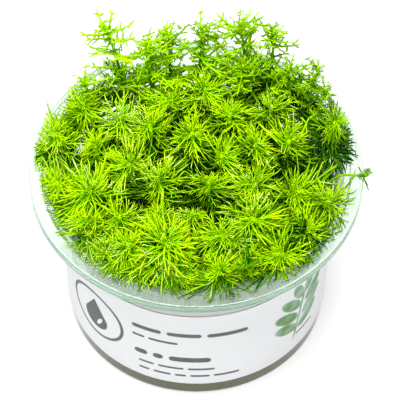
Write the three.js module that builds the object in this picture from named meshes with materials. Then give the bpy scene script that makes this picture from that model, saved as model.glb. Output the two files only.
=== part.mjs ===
// A tissue-culture cup of feathery pond milfoil: a shallow clear cup with a turned-down flange,
// the paper label round it, the nutrient gel in its base, and the shoots that grow out of the gel.
// The origin is the centre of the cup's flat underside. The label's middle faces -Y.

import * as THREE from 'three';

// Cup
const CUP_HEIGHT = 48.5;
const RIM_RADIUS = 40;
const BODY_TOP_RADIUS = 33.2;
const BODY_BASE_RADIUS = 31.8;
const BODY_TOP_Z = 44.6;
const WALL = 0.9;
const FLOOR = 1.2;
const BASE_ROUND = 1.4;
const INSIDE_ROUND = 1;
const FLANGE_THICKNESS = 0.9;
const FLANGE_INNER_RADIUS = 36.2;
const LEDGE_RADIUS = 34.9;
const LEDGE_DROP = 1.3;
const LEDGE_SLOPE = 0.2;
const SKIRT_DEPTH = 2.1;
const SKIRT_WALL = 0.8;
const LIP_ROUND = 0.5;
const ROUND_SEGMENTS = 44;

// Label
const LABEL_BOTTOM = 5;
const LABEL_TOP = 34.6;
const LABEL_THICKNESS = 0.2;
const LABEL_GAP = 0.2;

// Nutrient gel
const GEL_GAP = 0.3;
const GEL_TOP = 9.5;
const GEL_MENISCUS = 0.8;
const GEL_BEVEL = 0.9;

// Shoots
const LEAVES_PER_WHORL = 5;
const STEM_RADIUS = 0.55;
const WHORL_HALF_HEIGHT = 0.6;
const FOOT_REACH = 0.84;
const FOOT_MAX_RADIUS = 28.5;
const NECK_REACH = 0.95;
const NECK_MAX_RADIUS = 29.2;
const NECK_Z = 47;
const BUD_LENGTH = 3.2;
const FIRST_WHORL_DROP = 0.9;
const WHORL_STEP = 5.6;

// Leaves: their width and widest place as shares of their length, and how far the leaves of each
// whorl rise, from the top whorl down, in radians
const LEAF_WIDTH = 0.34;
const LEAF_SHOULDER = 0.56;
const LEAF_LIFTS = [0.62, 0.34, 0.16, 0.1, 0.06, 0];
const TOP_LEAF_SHARE = 0.95;
const LENGTH_SPREAD = 0.06;
const STUB_LENGTH = 1.3;
const STUB_LIFT = 1.1;

// Finding room for a leaf: the gap it keeps to others and to the cup, how far it may be turned and
// lifted at first and at last, and how much of its length it may lose after half of the tries
const LEAF_CLEARANCE = 0.95;
const CUP_CLEARANCE = 0.7;
const SAMPLE_STEP = 0.7;
const PLACING_TRIES = 90;
const TURN_SPREAD = [0.1, 0.5];
const LIFT_SPREAD = [0.08, 0.5];
const MOST_SHORTENING = 0.72;
const SEED = 7;

// Each shoot's top: x, y, height and leaf length.
const SHOOT_TOPS = [
  [-6, 13, 61, 8.6], [-1, 4, 60, 8.2], [-11, 7, 59, 8.2], [-25, -10, 56, 9.2],
  [-34, 6, 57, 7.6], [-7, -26, 57, 9.2], [-16, -25, 55, 8.2], [-27, -19, 53, 8],
  [-18, -17, 55, 8.2], [-4, -32, 52, 7.6], [6, -2, 59, 8], [14, 1, 59, 8.6],
  [22, 3, 58, 8.6], [18, 12, 60, 8.6], [8, 9, 61, 8.6], [3, -9, 58, 8.2],
  [23, -11, 57, 8.6], [13, -19, 57, 8.8], [6, -23, 56, 8], [26, -20, 54, 8],
  [20, -27, 54, 8.4], [6, -32, 53, 7.8], [-16, -3, 57, 8.2], [-24, 2, 58, 8.2],
  [-9, -7, 57, 8.2], [-9, -17, 55, 8], [14, -9, 57, 8.2], [31, -12, 54, 7.4],
  [12, -30, 51, 7.4], [-12, -30, 51, 7.4], [-21, -25, 52, 7.6], [-33, -7, 55, 7.6],
  [2, 15, 63, 8.2], [33, 7, 60, 7.2], [-18, 9, 60, 8.2], [-1, -17, 56, 8],
  [-27, 13, 60, 7.8],
];

// The tall shoots at the back lean: the last two numbers are the x and y that each leans from.
const TALL_SHOOT_TOPS = [
  [-21, 22, 77, 7.4, -16, 20.5], [-11.5, 21, 71, 7, -10.5, 18.5], [-6.5, 24, 72.5, 7.2, -6.5, 22.5],
  [2, 24, 74, 7, -0.8, 22.5], [10.5, 25, 75.5, 7.4, 14.5, 23], [18.5, 24, 73.5, 7.4, 19, 23],
  [29, 17, 68.5, 5.6, 26.5, 16], [31, 14, 64, 6.6, 29, 12], [22, 18, 67.5, 7, 21.5, 18.5],
  [-27, 17, 63.5, 7, -27, 17], [11, 17, 69, 7, 11, 17],
];
const OVERHANGING_TOP = [40, -6, 57, 4.4];

// How each kind of shoot stands: its foot, how high its stem turns outward, and its whorls of leaves.
// A stem that bends sharply has bare rings on its way up to the lowest whorl.
const KINDS = {
  shoot: { footMaxRadius: FOOT_MAX_RADIUS, neckZ: NECK_Z, bareRings: 0, whorls: 3, lowestWhorlZ: 0 },
  tall: { footMaxRadius: FOOT_MAX_RADIUS, neckZ: NECK_Z + 4, bareRings: 0, whorls: 6, lowestWhorlZ: 50 },
  overhanging: { footMaxRadius: 20, neckZ: 60, bareRings: 9, whorls: 1, lowestWhorlZ: 0 },
};

const COLOURS = {
  cup: 0xd9efe4,
  label: 0xf0f1f2,
  gel: 0x75795a,
  leaf: 0x7fbf0c,
  tallLeaf: 0x4f8a0c,
};

// A small seeded random source, so that the plant grows the same way each time.
function seededRandom(seed) {
  let state = seed >>> 0;
  return () => {
    state = (Math.imul(state, 1664525) + 1013904223) >>> 0;
    return state / 4294967296;
  };
}

const random = seededRandom(SEED);
const spread = (amount) => (random() * 2 - 1) * amount;

function named(name, geometry, colour, roughness, extra = {}) {
  const material = new THREE.MeshStandardMaterial({ color: colour, roughness, metalness: 0, ...extra });
  const mesh = new THREE.Mesh(geometry, material);
  mesh.name = name;
  return mesh;
}

// Points of a quarter round from one angle to another, in degrees.
function arc(centreR, centreZ, radius, from, to, steps) {
  const points = [];
  for (let i = 0; i <= steps; i += 1) {
    const angle = THREE.MathUtils.degToRad(from + (to - from) * i / steps);
    points.push([centreR + radius * Math.cos(angle), centreZ + radius * Math.sin(angle)]);
  }
  return points;
}

// A ring or disc turned about the Z axis from a list of [radius, height] points.
function turned(profile) {
  const points = profile.map(([r, z]) => new THREE.Vector2(r, z));
  const geometry = new THREE.LatheGeometry(points, ROUND_SEGMENTS);
  geometry.rotateX(Math.PI / 2);
  return geometry;
}

const bodyRadius = (z) => THREE.MathUtils.mapLinear(z, 0, BODY_TOP_Z, BODY_BASE_RADIUS, BODY_TOP_RADIUS);

function cupGeometry() {
  const underFlange = CUP_HEIGHT - FLANGE_THICKNESS;
  const ledgeZ = CUP_HEIGHT - LEDGE_DROP;
  const skirtBottom = CUP_HEIGHT - SKIRT_DEPTH;
  const baseR = bodyRadius(BASE_ROUND);
  const insideR = baseR - WALL;
  const profile = [
    [0, 0],
    ...arc(baseR - BASE_ROUND, BASE_ROUND, BASE_ROUND, -90, 0, 2),
    [BODY_TOP_RADIUS, BODY_TOP_Z],
    [LEDGE_RADIUS + WALL, ledgeZ - WALL],
    [FLANGE_INNER_RADIUS + WALL, underFlange],
    [RIM_RADIUS - SKIRT_WALL, underFlange],
    [RIM_RADIUS - SKIRT_WALL, skirtBottom],
    [RIM_RADIUS, skirtBottom],
    ...arc(RIM_RADIUS - LIP_ROUND, CUP_HEIGHT - LIP_ROUND, LIP_ROUND, 0, 90, 2),
    [FLANGE_INNER_RADIUS, CUP_HEIGHT],
    [LEDGE_RADIUS, ledgeZ],
    [BODY_TOP_RADIUS - WALL, ledgeZ - LEDGE_SLOPE],
    [BODY_TOP_RADIUS - WALL, BODY_TOP_Z],
    ...arc(insideR - INSIDE_ROUND, FLOOR + INSIDE_ROUND, INSIDE_ROUND, 0, -90, 1),
    [0, FLOOR],
  ];
  return turned(profile);
}

function labelGeometry() {
  const inner = (z) => bodyRadius(z) + LABEL_GAP;
  return turned([
    [inner(LABEL_BOTTOM), LABEL_BOTTOM],
    [inner(LABEL_BOTTOM) + LABEL_THICKNESS, LABEL_BOTTOM],
    [inner(LABEL_TOP) + LABEL_THICKNESS, LABEL_TOP],
    [inner(LABEL_TOP), LABEL_TOP],
    [inner(LABEL_BOTTOM), LABEL_BOTTOM],
  ]);
}

function gelGeometry() {
  const bottom = FLOOR + GEL_GAP;
  const edge = (z) => bodyRadius(z) - WALL - GEL_GAP;
  return turned([
    [0, bottom],
    [edge(bottom) - GEL_BEVEL, bottom],
    [edge(bottom + GEL_BEVEL), bottom + GEL_BEVEL],
    [edge(GEL_TOP), GEL_TOP],
    [edge(GEL_TOP) - GEL_MENISCUS * 2, GEL_TOP - GEL_MENISCUS],
    [0, GEL_TOP - GEL_MENISCUS],
  ]);
}

// The stem's centre line: up from the gel, then out and up to the shoot's top.
function stemCurve([x, y, z, , fromX = x, fromY = y], kind) {
  const reach = Math.hypot(fromX, fromY);
  const footR = Math.min(reach * FOOT_REACH, kind.footMaxRadius);
  const neckR = Math.min(reach * NECK_REACH, NECK_MAX_RADIUS);
  const outward = new THREE.Vector3(fromX, fromY, 0).normalize();
  const foot = outward.clone().multiplyScalar(footR).setZ(GEL_TOP - GEL_MENISCUS + GEL_GAP);
  const neck = outward.clone().multiplyScalar(neckR).setZ(kind.neckZ);
  return new THREE.QuadraticBezierCurve3(foot, neck, new THREE.Vector3(x, y, z - BUD_LENGTH));
}

// Sample points of what has been placed, kept in a grid for quick look-up.
class PlacedPoints {
  constructor(cell) {
    this.cell = cell;
    this.cells = new Map();
  }

  key(i, j, k) {
    return `${i},${j},${k}`;
  }

  index(value) {
    return Math.floor(value / this.cell);
  }

  add(point, owner) {
    const key = this.key(this.index(point.x), this.index(point.y), this.index(point.z));
    if (!this.cells.has(key)) this.cells.set(key, []);
    this.cells.get(key).push({ point, owner });
  }

  hasNear(point, owner, distance) {
    for (let i = this.index(point.x - distance); i <= this.index(point.x + distance); i += 1) {
      for (let j = this.index(point.y - distance); j <= this.index(point.y + distance); j += 1) {
        for (let k = this.index(point.z - distance); k <= this.index(point.z + distance); k += 1) {
          const near = this.cells.get(this.key(i, j, k)) || [];
          if (near.some((n) => n.owner !== owner && n.point.distanceTo(point) < distance)) return true;
        }
      }
    }
    return false;
  }
}

// Whether a point keeps off the cup's wall and flange, the label and the gel.
function clearOfCup(point) {
  const r = Math.hypot(point.x, point.y);
  const gap = CUP_CLEARANCE;
  if (point.z < GEL_TOP + gap) return false;
  if (point.z < CUP_HEIGHT - LEDGE_DROP + gap) return r < BODY_TOP_RADIUS - WALL - gap;
  if (point.z < CUP_HEIGHT + gap) return r < LEDGE_RADIUS - gap || r > RIM_RADIUS + gap;
  return true;
}

// A place on the stem with two axes square to it. The stem bends in one plane, and the first axis
// is square to that plane all the way up, so the stem isn't twisted.
function frameOnStem(curve, share) {
  const { v0: foot, v1: neck, v2: end } = curve;
  const centre = curve.getPointAt(share);
  const direction = curve.getTangentAt(share);
  const u = new THREE.Vector3().crossVectors(end.clone().sub(foot), neck.clone().sub(foot)).normalize();
  const v = new THREE.Vector3().crossVectors(direction, u);
  return { centre, direction, u, v };
}

function around(frame, azimuth, out, up) {
  return frame.centre.clone()
    .addScaledVector(frame.u, Math.cos(azimuth) * out)
    .addScaledVector(frame.v, Math.sin(azimuth) * out)
    .addScaledVector(frame.direction, up);
}

// A shoot's whorls, from the top one down, each with a place on the stem and a turn.
function planShoot(top, index, kind) {
  const curve = stemCurve(top, kind);
  const length = curve.getLength();
  const whorls = [];
  const firstTurn = random() * Math.PI * 2;
  for (let level = 0; level < kind.whorls; level += 1) {
    const share = 1 - (FIRST_WHORL_DROP + level * WHORL_STEP) / length;
    const frame = frameOnStem(curve, share);
    if (frame.centre.z < kind.lowestWhorlZ && level > 1) break;
    const turn = firstTurn + level * Math.PI / LEAVES_PER_WHORL;
    whorls.push({ ...frame, share, turn, level, leaves: [] });
  }
  return { index, kind, top, curve, whorls, leafLength: top[3] };
}

function stemSamples(shoot) {
  const count = Math.ceil(shoot.curve.getLength() / SAMPLE_STEP);
  return shoot.curve.getSpacedPoints(count);
}

// A leaf is a long kite from the stem to its tip, widest a little past the middle.
function leafAt(whorl, slot, length, turn, lift, broad) {
  const azimuth = whorl.turn + slot * 2 * Math.PI / LEAVES_PER_WHORL;
  const at = (out, side) => around(
    whorl, azimuth + turn + side / Math.max(out, 1), out * Math.cos(lift), out * Math.sin(lift));
  const shoulder = length * LEAF_SHOULDER;
  const half = length * LEAF_WIDTH / 2;
  return {
    azimuth, length, broad,
    tip: at(length, 0), left: at(shoulder, -half), right: at(shoulder, half), base: whorl.centre,
  };
}

function leafSamples(leaf) {
  const points = [];
  const between = (a, b) => {
    const count = Math.ceil(a.distanceTo(b) / SAMPLE_STEP);
    for (let i = 1; i <= count; i += 1) points.push(a.clone().lerp(b, i / count));
  };
  between(leaf.base, leaf.tip);
  if (!leaf.broad) return points;
  between(leaf.base, leaf.left);
  between(leaf.left, leaf.tip);
  between(leaf.base, leaf.right);
  between(leaf.right, leaf.tip);
  return points;
}

// Turns, lifts and at last shortens a leaf until it is clear of everything placed before it.
function placeLeaf(shoot, whorl, slot, placed) {
  const topWhorl = whorl.level === 0;
  const full = shoot.leafLength * (topWhorl ? TOP_LEAF_SHARE : 1) * (1 + spread(LENGTH_SPREAD));
  const broad = topWhorl || shoot.kind === KINDS.tall;
  const half = PLACING_TRIES / 2;
  for (let i = 0; i < PLACING_TRIES; i += 1) {
    const wander = Math.min(1, i / half);
    const length = full * (1 - MOST_SHORTENING * Math.max(0, i / half - 1));
    const turn = spread(THREE.MathUtils.lerp(...TURN_SPREAD, wander));
    const lift = LEAF_LIFTS[whorl.level] + spread(THREE.MathUtils.lerp(...LIFT_SPREAD, wander));
    const leaf = leafAt(whorl, slot, length, turn, lift, broad);
    const samples = leafSamples(leaf);
    const free = samples.every((p) => clearOfCup(p) && !placed.hasNear(p, shoot.index, LEAF_CLEARANCE));
    if (!free) continue;
    samples.forEach((p) => placed.add(p, shoot.index));
    return leaf;
  }
  return leafAt(whorl, slot, STUB_LENGTH, 0, STUB_LIFT, false);
}

// One closed mesh for a shoot: a five-sided stem whose sides run out into leaves at each whorl.
function shootGeometry(shoot) {
  const n = LEAVES_PER_WHORL;
  const positions = [];
  const triangles = [];
  const vertex = (p) => {
    positions.push(p.x, p.y, p.z);
    return positions.length / 3 - 1;
  };
  const slots = Array.from({ length: n }, (_, i) => i);
  const ring = (frame, turn, out, up) => slots.map(
    (i) => vertex(around(frame, turn + i * 2 * Math.PI / n, out, up)));
  const halfStep = Math.PI / n;

  const upward = [...shoot.whorls].reverse();
  const footTurn = upward[0].turn - halfStep;
  const footFrame = frameOnStem(shoot.curve, 0);
  let lower = ring(footFrame, footTurn, STEM_RADIUS, 0);
  const footCentre = vertex(footFrame.centre);
  slots.forEach((i) => triangles.push([footCentre, lower[(i + 1) % n], lower[i]]));
  for (let k = 1; k <= shoot.kind.bareRings; k += 1) {
    const share = upward[0].share * k / (shoot.kind.bareRings + 1);
    const higher = ring(frameOnStem(shoot.curve, share), footTurn, STEM_RADIUS, 0);
    slots.forEach((i) => {
      const next = (i + 1) % n;
      triangles.push([lower[i], lower[next], higher[i]], [lower[next], higher[next], higher[i]]);
    });
    lower = higher;
  }

  upward.forEach((whorl) => {
    const below = ring(whorl, whorl.turn, STEM_RADIUS, -WHORL_HALF_HEIGHT);
    const notch = ring(whorl, whorl.turn + halfStep, STEM_RADIUS, 0);
    const above = ring(whorl, whorl.turn, STEM_RADIUS, WHORL_HALF_HEIGHT);
    slots.forEach((i) => {
      const next = (i + 1) % n;
      const before = notch[(i + n - 1) % n];
      const after = notch[i];
      triangles.push([lower[i], lower[next], below[i]]);
      triangles.push([lower[next], below[next], below[i]]);
      triangles.push([below[i], below[next], after]);
      triangles.push([above[i], after, above[next]]);
      const leaf = whorl.leaves[i];
      const tip = vertex(leaf.tip);
      const edge = leaf.broad
        ? [before, vertex(leaf.left), tip, vertex(leaf.right), after] : [before, tip, after];
      for (let k = 0; k + 1 < edge.length; k += 1) {
        triangles.push([above[i], edge[k], edge[k + 1]]);
        triangles.push([below[i], edge[k + 1], edge[k]]);
      }
    });
    lower = above;
  });

  const bud = vertex(new THREE.Vector3(...shoot.top.slice(0, 3)));
  slots.forEach((i) => triangles.push([lower[i], lower[(i + 1) % n], bud]));
  const geometry = new THREE.BufferGeometry();
  geometry.setAttribute('position', new THREE.Float32BufferAttribute(positions, 3));
  geometry.setIndex(triangles.flat());
  geometry.computeVertexNormals();
  return geometry;
}

// All shoots are planned first, top whorls before lower ones, so that no leaf meets another's.
function growShoots() {
  const shoots = [
    ...SHOOT_TOPS.map((top) => [top, KINDS.shoot]),
    ...TALL_SHOOT_TOPS.map((top) => [top, KINDS.tall]),
    [OVERHANGING_TOP, KINDS.overhanging],
  ].map(([top, kind], index) => planShoot(top, index, kind));
  const placed = new PlacedPoints(LEAF_CLEARANCE * 2);
  shoots.forEach((shoot) => stemSamples(shoot).forEach((p) => placed.add(p, shoot.index)));
  for (let level = 0; level < LEAF_LIFTS.length; level += 1) {
    shoots.filter((shoot) => shoot.whorls[level]).forEach((shoot) => {
      const whorl = shoot.whorls[level];
      for (let slot = 0; slot < LEAVES_PER_WHORL; slot += 1) {
        whorl.leaves.push(placeLeaf(shoot, whorl, slot, placed));
      }
    });
  }
  return shoots;
}

function shootName(shoot) {
  const count = SHOOT_TOPS.length;
  const number = (value) => String(value).padStart(2, '0');
  if (shoot.index < count) return `shoot_${number(shoot.index + 1)}`;
  if (shoot.kind === KINDS.tall) return `tall_shoot_${number(shoot.index - count + 1)}`;
  return 'overhanging_shoot';
}

const plantInCup = new THREE.Group();
plantInCup.add(named('cup', cupGeometry(), COLOURS.cup, 0.08, { transparent: true, opacity: 0.35 }));
plantInCup.add(named('label', labelGeometry(), COLOURS.label, 0.6));
plantInCup.add(named('gel', gelGeometry(), COLOURS.gel, 0.2));
growShoots().forEach((shoot) => {
  const colour = shoot.kind === KINDS.tall ? COLOURS.tallLeaf : COLOURS.leaf;
  plantInCup.add(named(shootName(shoot), shootGeometry(shoot), colour, 0.5));
});

export default plantInCup;
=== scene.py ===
"""A tissue-culture cup of feathery pond milfoil, dressed on its fixed frame.

The cup, label and gel are turned pieces. Every shoot grows from the place, height and leaf length
of its own solid in the frame, with whorls of feathery leaves stamped from a few leaf patterns.
"""

import math
import random
from collections import namedtuple

import bmesh
import bpy
import numpy as np
from bpy.props import FloatProperty, FloatVectorProperty, IntProperty, PointerProperty
from mathutils import Matrix, Vector


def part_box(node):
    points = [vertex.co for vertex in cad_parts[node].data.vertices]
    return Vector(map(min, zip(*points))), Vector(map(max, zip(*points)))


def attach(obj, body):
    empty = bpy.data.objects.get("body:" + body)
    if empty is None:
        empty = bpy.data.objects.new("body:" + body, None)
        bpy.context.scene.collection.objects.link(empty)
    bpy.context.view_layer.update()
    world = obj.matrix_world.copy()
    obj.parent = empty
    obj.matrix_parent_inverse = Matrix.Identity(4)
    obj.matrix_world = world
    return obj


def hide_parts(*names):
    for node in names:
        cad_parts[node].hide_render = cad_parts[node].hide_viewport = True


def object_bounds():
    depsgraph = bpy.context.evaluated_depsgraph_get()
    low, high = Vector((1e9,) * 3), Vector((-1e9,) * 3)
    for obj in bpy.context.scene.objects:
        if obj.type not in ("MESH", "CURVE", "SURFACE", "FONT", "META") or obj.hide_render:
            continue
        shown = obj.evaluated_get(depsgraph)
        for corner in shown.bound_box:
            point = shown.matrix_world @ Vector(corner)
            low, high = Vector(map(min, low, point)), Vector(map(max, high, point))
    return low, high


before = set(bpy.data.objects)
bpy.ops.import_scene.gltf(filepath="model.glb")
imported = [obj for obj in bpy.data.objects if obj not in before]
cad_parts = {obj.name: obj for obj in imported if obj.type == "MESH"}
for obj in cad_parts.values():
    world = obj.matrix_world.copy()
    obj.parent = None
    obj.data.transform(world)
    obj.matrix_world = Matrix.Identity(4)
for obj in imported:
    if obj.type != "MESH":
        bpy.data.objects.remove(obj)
CAD_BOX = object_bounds()

bl_info = {
    "name": "Milfoil in a culture cup",
    "version": (1, 0, 0),
    "blender": (4, 5, 0),
    "location": "View3D > Sidebar > Milfoil",
    "description": "Builds a clear cup, its label and gel, and the feathery shoots in it",
    "category": "Object",
}

MM = 0.001
BODY = "root"
LABEL_LOW, LABEL_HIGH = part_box("label")
GEL_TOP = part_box("gel")[1][2]
RIM_RADIUS, _, CUP_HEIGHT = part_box("cup")[1]
BODY_TOP = 44.6 * MM
# Where leaves come to rest on the rim, from the inside of the wall out over the ledge to the flange
RIM_RADII = [32.2 * MM, 34.9 * MM, 36.6 * MM, 40.2 * MM]
RIM_HEIGHTS = [CUP_HEIGHT - 1.15 * MM, CUP_HEIGHT - 1.1 * MM, CUP_HEIGHT + 0.2 * MM, CUP_HEIGHT + 0.2 * MM]
SHOOT_NODES = sorted(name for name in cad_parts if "shoot" in name)
FRONT = -math.pi / 2
LEAVES_PER_WHORL = 5
# Height of a needle as a share of its width, and the leaf length that the needle width is meant for
NEEDLE_HEIGHT = 0.8
PATTERN_LENGTH = 8.4 * MM
# Shoots with leaves beyond the first length open wide towards the front; no leaf passes the second
LARGE_LEAF = 9.0 * MM
LONGEST_LEAF = 14.0 * MM
# Long leaves of a shoot that stands by the wall: share of the full length, number, and highest start in mm
RIM_SHARE = 2.2
RIM_LEAVES = 28
RIM_LEAVES_BELOW = 54
# Leaves from whorls above the first height can lie on the rim; below the second they keep inside the wall
RESTS_ABOVE = 42.0 * MM
FREE_ABOVE = 48.5 * MM
INSIDE_WALL = 32.4 * MM
# Where the cushion parts and one sees down between the stems: x and y, and how wide
PARTINGS = ((-14, -10.5), (0, -13.5), (22, -1.5), (3.5, -4.5))
PARTING_RADIUS = 3.6
# How far from the axis leaves reach, in mm, from the left (-180 degrees) by the front and the right
REACH_ANGLES = (-180, -150, -120, -90, -45, -10, 8, 25, 50, 90, 130, 150, 165, 180)
REACH_LIMITS = (37.6, 37.8, 38.4, 39.2, 39.0, 39.4, 39.6, 35.8, 34.8, 37.4, 36.2, 35.2, 39.2, 38.0)


# Settings that a user would change

def colour_setting(name, description, default):
    return FloatVectorProperty(name=name, description=description, subtype="COLOR", size=3, min=0, max=1,
                               default=default)


def length_setting(name, description, default, least=0.0):
    return FloatProperty(name=name, description=description, default=default, min=least, unit="LENGTH")


class CupSettings(bpy.types.PropertyGroup):
    wall: length_setting("Wall", "Thickness of the clear wall", 0.9 * MM, 0.3 * MM)
    body_top_radius: length_setting("Body top radius", "Outer radius under the flange", 33.2 * MM)
    body_base_radius: length_setting("Body base radius", "Outer radius at the base", 31.8 * MM)
    tint: colour_setting("Tint", "Faint colour of the flange", (0.815, 0.955, 0.83))
    edge: colour_setting("Edge", "Deeper colour of the flange's thick outer edge", (0.5, 0.73, 0.57))


class LabelSettings(bpy.types.PropertyGroup):
    thickness: length_setting("Thickness", "Thickness of the paper", 0.16 * MM)
    paper: colour_setting("Paper", "Colour of the paper", (0.82, 0.83, 0.845))
    ink: colour_setting("Ink", "Colour of the dark marks", (0.045, 0.06, 0.05))
    wash: colour_setting("Wash", "Colour of the soft green sprig", (0.06, 0.27, 0.07))


class GelSettings(bpy.types.PropertyGroup):
    colour: colour_setting("Gel", "Colour of the nutrient gel", (0.105, 0.12, 0.003))


class ShootSettings(bpy.types.PropertyGroup):
    seed: IntProperty(name="Seed", description="Another seed bends the leaves another way", default=57)
    bud_length: length_setting("Bud", "Length of the closed tip above the stem", 3.2 * MM)
    needle_width: length_setting("Needle width", "Width of a leaf's needles at their root", 0.41 * MM)
    young: colour_setting("Young leaf", "Colour of the young leaves", (0.35, 0.95, 0.001))
    tip: colour_setting("Needle tip", "Colour of the young needles' tips", (0.82, 1.0, 0.002))
    # The old colour also serves as painted shade on deep and shaded leaves
    old: colour_setting("Old leaf", "Colour of the old and shaded leaves", (0.012, 0.105, 0.001))


class StageSettings(bpy.types.PropertyGroup):
    distance: length_setting("Camera distance", "From the cup's base", 0.7558)
    elevation: FloatProperty(name="Camera elevation", description="Angle above the floor", subtype="ANGLE",
                             default=math.radians(54.62))
    lens: FloatProperty(name="Lens", description="Focal length in mm on a 36 mm sensor", default=270)


# Small helpers

def deselect():
    """Leave edit mode and clear the selection."""
    if bpy.context.object and bpy.context.object.mode != "OBJECT":
        bpy.ops.object.mode_set(mode="OBJECT")
    bpy.ops.object.select_all(action="DESELECT")


def only(piece):
    """Select one object and make it active."""
    deselect()
    piece.select_set(True)
    bpy.context.view_layer.objects.active = piece


def settle(piece):
    """Bring a finished object to the origin, with its place in its mesh."""
    only(piece)
    bpy.ops.object.transform_apply(location=True, rotation=True, scale=True)


def dress(piece, name, node, material, slot):
    """Name a finished piece, give it its material, and let it stand for its node."""
    piece.name = name
    piece.data.name = name
    piece.data.materials.clear()
    piece.data.materials.append(material)
    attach(piece, BODY)
    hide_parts(node)


def edit(kind, action="SELECT"):
    """Enter edit mode with everything or nothing selected."""
    bpy.ops.object.mode_set(mode="EDIT")
    bpy.ops.mesh.select_mode(type=kind)
    bpy.ops.mesh.select_all(action=action)


def select_top(piece, kind, test):
    """In edit mode, select only the vertices or faces that pass a test."""
    edit(kind, "DESELECT")
    shape = bmesh.from_edit_mesh(piece.data)
    for part in shape.verts if kind == "VERT" else shape.faces:
        part.select = test(part)
    shape.select_flush(True)
    bmesh.update_edit_mesh(piece.data)


def close_up():
    """Turn all faces outward and leave edit mode."""
    bpy.ops.mesh.select_all(action="SELECT")
    bpy.ops.mesh.normals_make_consistent(inside=False)
    bpy.ops.object.mode_set(mode="OBJECT")


def modify(piece, kind, **settings):
    """Add a modifier and apply it."""
    modifier = piece.modifiers.new(kind.title(), kind)
    for key, value in settings.items():
        setattr(modifier, key, value)
    only(piece)
    bpy.ops.object.modifier_apply(modifier=modifier.name)


def smooth(piece, angle):
    only(piece)
    bpy.ops.object.shade_smooth_by_angle(angle=math.radians(angle))


# Shader wiring

class Wiring:
    """Adds nodes to a tree and links them; numbers and sockets can be given alike."""

    def __init__(self, tree):
        self.tree = tree

    def feed(self, socket, value):
        if isinstance(value, bpy.types.NodeSocket):
            self.tree.links.new(value, socket)
        elif value is not None:
            socket.default_value = value

    def fill(self, made, values):
        """Feed several inputs of a node by their names."""
        for key, value in values.items():
            self.feed(made.inputs[key], value)
        return made

    def node(self, kind, inputs=None, **settings):
        made = self.tree.nodes.new(kind)
        for key, value in settings.items():
            setattr(made, key, value)
        return self.fill(made, inputs or {})

    def place(self):
        return self.node("ShaderNodeTexCoord").outputs["Object"]

    def maths(self, operation, a, b=None, clamp=False):
        made = self.node("ShaderNodeMath", operation=operation, use_clamp=clamp)
        for socket, value in zip(made.inputs, (a, b)):
            self.feed(socket, value)
        return made.outputs[0]

    def times(self, a, b, clamp=False):
        return self.maths("MULTIPLY", a, b, clamp=clamp)

    def plus(self, a, b, clamp=False):
        return self.maths("ADD", a, b, clamp=clamp)

    def minus(self, a, b, clamp=False):
        return self.maths("SUBTRACT", a, b, clamp=clamp)

    def mix(self, share, a, b, blend="MIX"):
        made = self.node("ShaderNodeMix", {"Factor": share, 6: a, 7: b}, data_type="RGBA", blend_type=blend)
        return made.outputs[2]

    def span(self, value, low, high, to_low=0.0, to_high=1.0):
        """A value's place from low to high, as a number from to_low to to_high."""
        made = self.node("ShaderNodeMapRange", {"Value": value, "From Min": low, "From Max": high,
                                                "To Min": to_low, "To Max": to_high}, clamp=True)
        return made.outputs[0]

    def noise(self, vector, scale, detail=2.0, roughness=0.5):
        made = self.node("ShaderNodeTexNoise",
                         {"Vector": vector, "Scale": scale, "Detail": detail, "Roughness": roughness})
        return made.outputs["Fac"]


def group(name, inputs, outputs):
    """A new shader group with named sockets, its wiring, and its inner input and output nodes."""
    tree = bpy.data.node_groups.new(name, "ShaderNodeTree")
    for label, kind, default in inputs:
        tree.interface.new_socket(label, in_out="INPUT", socket_type=kind).default_value = default
    for label, kind in outputs:
        tree.interface.new_socket(label, in_out="OUTPUT", socket_type=kind)
    wires = Wiring(tree)
    return tree, wires, tree.nodes.new("NodeGroupInput").outputs, tree.nodes.new("NodeGroupOutput").inputs


def place_group(wires, tree, **inputs):
    made = wires.node("ShaderNodeGroup", node_tree=tree)
    for key, value in inputs.items():
        wires.feed(made.inputs[key.replace("_", " ")], value)
    return made.outputs


def blank_material(name):
    """A material with its Principled shader, and the wiring round it."""
    material = bpy.data.materials.new(name)
    material.use_nodes = True
    wires = Wiring(material.node_tree)
    return material, wires, material.node_tree.nodes["Principled BSDF"]


def rgba(colour):
    return (*colour, 1.0)


# Leaf colours

def leaf_green_group():
    """Colour of a leaf from its age and painted depth shade, paler to the needle tips and never quite even.
    """
    colour, number = "NodeSocketColor", "NodeSocketFloat"
    tree, wires, given, out = group(
        "Leaf green",
        [(name, colour, (0.2, 0.5, 0.0, 1)) for name in ("Young", "Tip", "Old")]
        + [(name, number, 0.5) for name in ("Age", "Along", "Chance", "Vigour")],
        [("Color", colour), ("Roughness", number), ("Wet", number)])
    age_and_shade = wires.plus(given["Age"], wires.span(given["Chance"], 0.0, 1.0, -0.14, 0.18), clamp=True)
    aged_and_shaded = wires.mix(wires.maths("POWER", age_and_shade, 0.75), given["Young"], given["Old"])
    freshness_and_light = wires.minus(1.0, age_and_shade, clamp=True)
    tipness = wires.times(wires.maths("POWER", given["Along"], 1.3), wires.maths("POWER", freshness_and_light, 1.5))
    tipped = wires.mix(wires.times(tipness, given["Vigour"], clamp=True), aged_and_shaded, given["Tip"])
    place = wires.place()
    patch = wires.noise(place, 900.0)
    mottled = wires.mix(wires.span(patch, 0.3, 0.75, 0.0, 0.4), tipped, given["Young"], "MULTIPLY")
    # Painted shade: the root half of a leaf darkens towards the old colour, the more the older and deeper
    # the leaf
    shade = wires.times(wires.span(given["Along"], 0.0, 0.55, 0.7, 0.0), wires.times(age_and_shade, 1.3))
    wires.feed(out["Color"], wires.mix(shade, mottled, given["Old"]))
    wires.feed(out["Roughness"], wires.span(patch, 0.3, 0.7, 0.32, 0.52))
    wet_patch = wires.span(wires.noise(place, 110.0), 0.53, 0.57)
    wires.feed(out["Wet"], wires.times(wet_patch, wires.span(freshness_and_light, 0.4, 0.65)))
    return tree


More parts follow.
